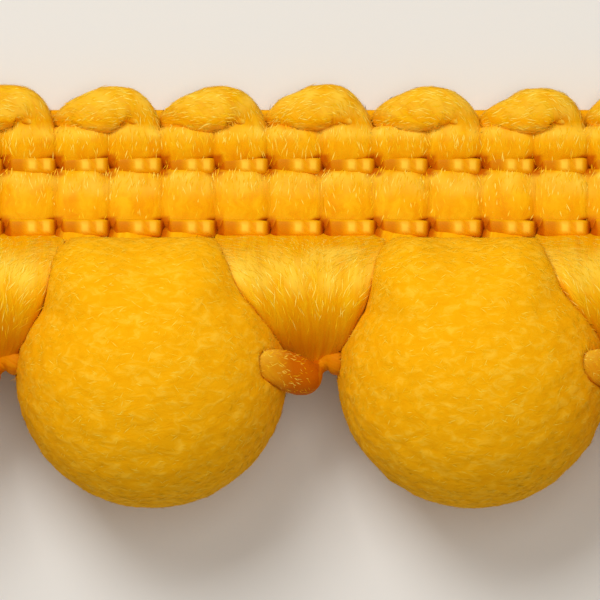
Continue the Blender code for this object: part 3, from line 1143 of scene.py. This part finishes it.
def tie_pieces(yarn, pile, fibre, material, filament_material):
    """The ties' yarn and the loose filaments on it."""
    ties = []
    for index in range(POMPOM_COUNT + 1):
        centre = tie_x(index)
        # The first tie has no pompom to lie on, so its loop lies lower and ends sooner.
        rows = TIE_LINE if index else [(0.8 * x, y, 0.5 * z, w, d) for x, y, z, w, d in TIE_LINE]
        line = [
            (centre + x, y, POMPOM_CENTRE_Z + z, width, depth) for x, y, z, width, depth in rows
        ]
        tie = yarn_along(f"tie_yarn_{index + 1}", [line], yarn, TIE_YARN, material)
        packed, fuzz = [], []
        for x, y, _ in spots_on(tie):
            x -= centre
            # How far a place lies below the nub's bright upper left edge.
            inside = 0.40 * (x + 1.30) - (y - 0.50)
            # Painted shade over the whole tie, deeper below the nub's bright upper left edge and most on
            # the nub itself; painted highlight along that edge with its fuzz.
            nub_shade = rise(x, -1.15, 0.75) * rise(inside, -0.05, 0.35)
            packed.append(0.25 + (0.75 if x < 0.15 else 0.40) * nub_shade)
            fuzz.append(max(fall(inside, 0.55, 0.35), 0.3) * fall(x, 0.1, 0.3))
        store_shares(tie, packed=packed, fuzz=fuzz, loose=[0.45 * share for share in fuzz])
        filaments = loose_fibres(
            f"tie_filaments_{index + 1}", tie, pile, fibre, TIE_FILAMENTS, TIE_SEED + index,
            filament_material,
        )
        finished(filaments)
        ties.append(finished(tie, f"tie_{index + 1}"))
    return ties


# The pompoms

POMPOM_SEGMENTS = 160
POMPOM_RINGS = 84
POMPOM_SEED = 41
# How far the felt lies inside the pompom's outline, and the height of its tufts.
FELT_INSET = 0.06
TUFT_HEIGHT = 0.035
# The felt's lowest height. Where a fan meets it in plan, it runs on a little under the fan, and
# where a neighbour presses on it, it stays a little clear.
FELT_LOWEST_Z = 0.03
PRESS_OVERLAP = 0.20
PRESS_GAP = 0.005
SOFTNESS = 0.04
# How far from a pompom's middle a fan's edge is looked for: first, last and step.
FIRST_REACH = 1.5
LAST_REACH = 4.2
REACH_STEP = 0.01
# The yarn that fills a pompom out to the lower thread: its upper edge in plan, and each side's
# first and last direction in degrees from +X, and swell.
SHOULDER_TOP_Y = 3.19
SHOULDERS = ((40.0, 88.0, 0.09), (98.0, 152.0, 0.15))
SHOULDER_BLEND = 22
POMPOM_PILE = {
    "Fibres per square mm": 110.0, "Length": 0.20 * MM, "Radius": 0.008 * MM, "Lift": 0.15,
    "Spread": 1.0,
}


def fan_limit(degrees):
    """How far a pompom reaches in plan, in a direction in degrees, before it meets a fan."""
    along_x, along_y = math.cos(math.radians(degrees)), math.sin(math.radians(degrees))
    farthest = LAST_REACH if along_y < 0.5 else SHOULDER_TOP_Y / along_y
    heights, lefts, rights = list(zip(*sorted(FAN_LINE)))[:3]
    reach = FIRST_REACH
    while reach < farthest:
        x, y = along_x * reach, along_y * reach
        if heights[0] < y < heights[-1]:
            edge = np.interp(y, heights, lefts if x > 0 else rights)
            if x > 0 and x > edge + POMPOM_PITCH / 2 or x < 0 and x < edge - POMPOM_PITCH / 2:
                return reach + PRESS_OVERLAP
        reach += REACH_STEP
    return farthest


def soft_least(first, second, softness):
    """The lesser of two arrays of values, blended where they are close."""
    blend = np.clip(0.5 + 0.5 * (second - first) / softness, 0.0, 1.0)
    return second * (1 - blend) + first * blend - softness * blend * (1 - blend)


def felt_radius(directions, seed):
    """The radius of a pompom in each unit direction before anything presses on it."""
    radii = []
    for x, y, z in directions:
        tuft = noise.noise(Vector((6.0 * x, 9.0 * y, 9.0 * z + seed)))
        tuft += 0.6 * noise.noise(Vector((15.0 * x, 24.0 * y, 24.0 * z - seed)))
        plan = math.degrees(math.atan2(y, x))
        swell = 0.0
        for first, last, size in SHOULDERS:
            swell += size * rise(plan, first, SHOULDER_BLEND) * fall(plan, last, SHOULDER_BLEND)
        swell *= smooth_step(2.0 * math.hypot(x, y) - 0.9)
        radii.append((POMPOM_RADIUS - FELT_INSET) * (1 + swell) + TUFT_HEIGHT * tuft)
    return np.array(radii)


def pressed(radius, directions, centre, neighbours):
    """The radii with soft dents where the neighbours' surfaces press into the ball."""
    dents = np.zeros(len(directions))
    for number, (direction, reach) in enumerate(zip(directions, radius)):
        aim = Vector(direction)
        hit = neighbours.ray_cast(centre, aim, reach * MM)[3]
        if hit is not None:
            dents[number] = reach - hit / MM + PRESS_GAP
    # The dents run out softly round the places that are pressed.
    field = dents[1:-1].reshape(POMPOM_RINGS - 1, POMPOM_SEGMENTS)
    padded = np.pad(field, ((1, 1), (0, 0)), mode="edge")
    around = np.roll(field, 1, axis=1) + np.roll(field, -1, axis=1)
    field = np.maximum(field, (padded[:-2] + padded[2:] + around) / 4)
    dents[1:-1] = field.ravel()
    dents[0] = field[0].mean()
    dents[-1] = field[-1].mean()
    return radius - dents


def pompom_directions():
    """Unit directions from a pompom's centre in rings round the trim's length."""
    directions = [(1.0, 0.0, 0.0)]
    for ring in range(1, POMPOM_RINGS):
        tilt = math.pi * ring / POMPOM_RINGS
        for segment in range(POMPOM_SEGMENTS):
            angle = math.tau * segment / POMPOM_SEGMENTS
            directions.append(
                (math.cos(tilt), math.sin(tilt) * math.cos(angle), math.sin(tilt) * math.sin(angle))
            )
    directions.append((-1.0, 0.0, 0.0))
    return np.array(directions)


def pompom_faces():
    """The faces between the points in a pompom's directions."""
    faces = []
    last = (POMPOM_RINGS - 1) * POMPOM_SEGMENTS + 1
    for segment in range(POMPOM_SEGMENTS):
        following = (segment + 1) % POMPOM_SEGMENTS
        faces.append((0, 1 + segment, 1 + following))
        for ring in range(POMPOM_RINGS - 2):
            low = 1 + ring * POMPOM_SEGMENTS
            high = low + POMPOM_SEGMENTS
            faces.append((low + segment, high + segment, high + following, low + following))
        faces.append((last, last - POMPOM_SEGMENTS + following, last - POMPOM_SEGMENTS + segment))
    return faces


def pompom_object(index, neighbours, limits, material):
    """A pompom's felt body, pressed in by its neighbours and a little flat where it lies."""
    centre_x = (tie_x(index) + tie_x(index + 1)) / 2
    flatten = np.array((1.0, 1.0, POMPOM_HALF_DEPTH / POMPOM_RADIUS))
    directions = pompom_directions() * flatten
    radius = felt_radius(pompom_directions(), 7.3 * index)
    lengths = np.linalg.norm(directions, axis=1)
    directions /= lengths[:, None]
    radius *= lengths
    plan = np.hypot(directions[:, 0], directions[:, 1])
    angles = np.degrees(np.arctan2(directions[:, 1], directions[:, 0])) % 360
    plan_limit = np.interp(angles, range(361), limits)
    radius = soft_least(radius, plan_limit / np.maximum(plan, 0.05), SOFTNESS)
    centre = Vector(placed(centre_x, 0.0, POMPOM_CENTRE_Z))
    radius = pressed(radius, directions, centre, neighbours)
    points = directions * radius[:, None]
    points[:, 0] += centre_x
    points[:, 1] -= ORIGIN_Y
    points[:, 2] = np.maximum(points[:, 2] + POMPOM_CENTRE_Z, FELT_LOWEST_Z)
    ball = new_mesh_object(f"pompom_felt_{index + 1}", (points * MM).tolist(), [], pompom_faces())
    for polygon in ball.data.polygons:
        polygon.use_smooth = True
    ball.data.materials.append(material)
    # The pile lies along the trim, and swirls a little.
    flow = []
    for x, y, z in points:
        flow.append((1.0, 0.20 + 0.8 * noise.noise(Vector((0.7 * x, 0.7 * y, 0.7 * z))), 0.1))
    store(ball, "flow", "FLOAT_VECTOR", flow)
    outer = np.clip((np.hypot(points[:, 0] - centre_x, points[:, 1] + ORIGIN_Y) - 2.4) / 0.7, 0.0, 1.0)
    above = np.clip((points[:, 2] - 0.1) / 2.0, 0.0, 1.0)
    store(ball, "fuzz", "FLOAT", above * (0.35 + 0.65 * outer))
    return ball


def pompom_pieces(pile, fibre, felt, fibre_material, pressing):
    """The pompoms, each pressed in by the pieces given, and their pile."""
    vertices, faces = [], []
    for piece in pressing:
        first = len(vertices)
        vertices += [vertex.co.copy() for vertex in piece.data.vertices]
        faces += [[first + corner for corner in face.vertices] for face in piece.data.polygons]
    neighbours = BVHTree.FromPolygons(vertices, faces)
    limits = [fan_limit(degrees) for degrees in range(361)]
    for index in range(POMPOM_COUNT):
        ball = pompom_object(index, neighbours, limits, felt)
        fibres = loose_fibres(
            f"pompom_pile_{index + 1}", ball, pile, fibre, POMPOM_PILE, POMPOM_SEED + index,
            fibre_material,
        )
        finished(ball, f"pompom_{index + 1}", slot="pompom_pile")
        finished(fibres, slot="pompom_pile")


# The stage

def plain_floor():
    """A floor far wider than the picture, in one plain pale colour."""
    size = 0.5
    floor = new_mesh_object(
        "floor", [(x * size, y * size, 0.0) for x, y in ((-1, -1), (1, -1), (1, 1), (-1, 1))],
        [], [(0, 1, 2, 3)],
    )
    material = bpy.data.materials.new("pale_floor")
    material.use_nodes = True
    shader = material.node_tree.nodes["Principled BSDF"]
    shader.inputs["Base Color"].default_value = (0.78, 0.78, 0.77, 1.0)
    shader.inputs["Roughness"].default_value = 0.9
    floor.data.materials.append(material)


# Lights: name, place and aim in millimetres, width in millimetres, watts, colour.
LIGHTS = (
    ("key_light", (-50.0, 100.0, 150.0), 80.0, 0.218, (1.0, 0.99, 0.96)),
    ("front_light", (20.0, 10.0, 180.0), 90.0, 0.065, (1.0, 0.97, 0.92)),
)
ROOM_COLOUR = (1.0, 0.92, 0.82, 1.0)
ROOM_STRENGTH = 0.345


def studio_light():
    """Two soft lights and an even pale room."""
    for name, place, width, watts, colour in LIGHTS:
        data = bpy.data.lights.new(name, "AREA")
        data.size = width * MM
        data.energy = watts
        data.color = colour
        light = bpy.data.objects.new(name, data)
        light.location = Vector(place) * MM
        light.rotation_mode = "QUATERNION"
        light.rotation_quaternion = (-Vector(place)).to_track_quat("-Z", "Y")
        light.visible_camera = False
        bpy.context.scene.collection.objects.link(light)
    world = bpy.data.worlds.new("pale_room")
    world.use_nodes = True
    background = world.node_tree.nodes["Background"]
    background.inputs["Color"].default_value = ROOM_COLOUR
    background.inputs["Strength"].default_value = ROOM_STRENGTH
    bpy.context.scene.world = world
    bpy.context.scene.view_settings.view_transform = "Standard"


# The camera looks straight down on the trim, as the photograph does.
PICTURE_WIDTH = 600 / 42.0
PICTURE_CENTRE = (-0.498, -0.046)
LENS = 600.0
SENSOR = 36.0
FOCUS_HEIGHT = 2.2


def camera():
    """The view of the photograph, from straight above and far off."""
    data = bpy.data.cameras.new("camera")
    data.lens = LENS
    data.sensor_width = SENSOR
    distance = PICTURE_WIDTH * LENS / SENSOR
    data.clip_start = 0.2 * distance * MM
    data.clip_end = 10.0 * distance * MM
    view = bpy.data.objects.new("camera", data)
    view.location = Vector((*PICTURE_CENTRE, FOCUS_HEIGHT + distance)) * MM
    bpy.context.scene.collection.objects.link(view)
    bpy.context.scene.camera = view


def main():
    """The camera, the materials, every piece of the trim, the floor and the light."""
    camera()
    filaments = filament_group()
    felt = felt_group()
    yarn = yarn_group()
    pile = pile_group()
    row = row_group()
    yarn_fibres = fibre_material("yarn_fibres", YARN_FIBRE_COLOURS, 0.50, 5.0)
    pile_fibres = fibre_material("pile_fibres", PILE_FIBRE_COLOURS, 0.60, 6.0)
    heading_material = yarn_material("heading_yarn", filaments, YARN_COLOURS, 0.50, 0.03)
    thread_material = yarn_material("binding_thread", filaments, THREAD_COLOURS, 0.40, 0.015)
    tie_material = yarn_material("tie_yarn", filaments, YARN_COLOURS, 0.50, 0.03)
    felt_body = felt_material("pompom_felt", felt, FELT_COLOURS)
    fibre = fibre_shape("fibre")
    heading = heading_pieces(yarn, pile, fibre, heading_material, yarn_fibres)
    binding_pieces(yarn, row, thread_material)
    fans = fan_pieces(pile, fibre, heading_material, yarn_fibres)
    ties = tie_pieces(yarn, pile, fibre, tie_material, yarn_fibres)
    pompom_pieces(pile, fibre, felt_body, pile_fibres, [heading, *fans, *ties])
    bpy.data.objects.remove(fibre)
    plain_floor()
    studio_light()


main()
